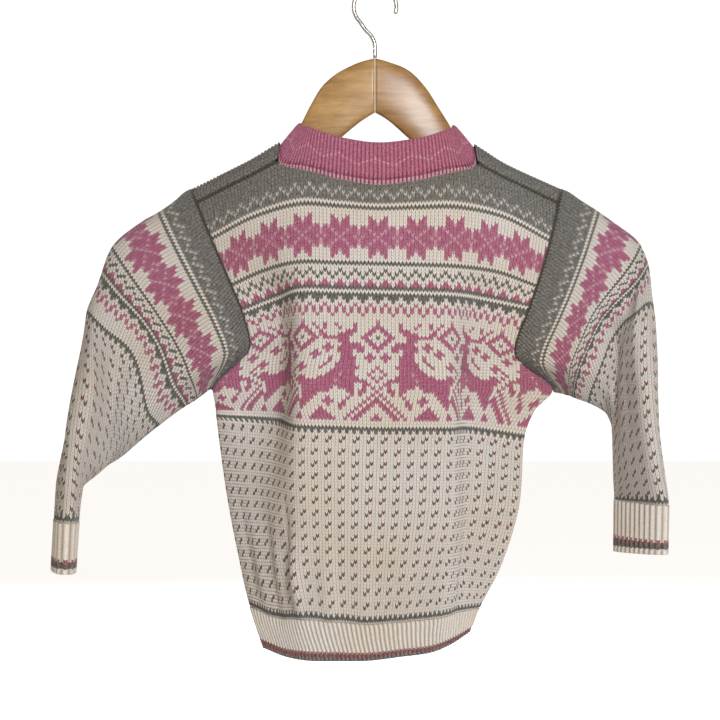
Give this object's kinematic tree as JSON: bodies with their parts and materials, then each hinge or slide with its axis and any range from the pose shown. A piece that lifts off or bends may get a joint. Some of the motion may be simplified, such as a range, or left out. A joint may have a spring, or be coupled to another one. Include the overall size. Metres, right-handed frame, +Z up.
{
  "type": "knitted cardigan on a hanger",
  "caption": "Child's stranded-knit cardigan with a star and reindeer yoke, ribbed collar, cuffs and welt, hanging open-bottomed on a wooden hanger with a wire hook.",
  "frame": {"origin": "inside top of the hanger's hook, where a rail or a wall hook carries it", "axes": "+Z up, +X towards the garment's left sleeve, -Y towards its buttoned front"},
  "size_m": [0.5453, 0.1193, 0.5935],
  "materials": {
    "cream_knit": "matte wool knit with pink and grey figures",
    "rib_knit": "matte wool rib",
    "pink_knit": "matte wool rib",
    "button": "satin",
    "wood": "clear satin varnish",
    "wire": "plated wire"
  },
  "bodies": {
    "root": {"back": "cream_knit", "front_left": "cream_knit", "front_right": "cream_knit", "sleeve_left": "cream_knit", "sleeve_right": "cream_knit", "cuff_left": "rib_knit", "cuff_right": "rib_knit", "hem_rib": "rib_knit", "collar": "pink_knit", "band_left": "pink_knit", "band_right": "pink_knit", "button_1": "button", "button_2": "button", "button_3": "button", "button_4": "button", "button_5": "button", "button_6": "button", "button_7": "button", "hanger_arm_left": "wood", "hanger_arm_right": "wood", "hanger_hook": "wire"}
  },
  "joints": []
}
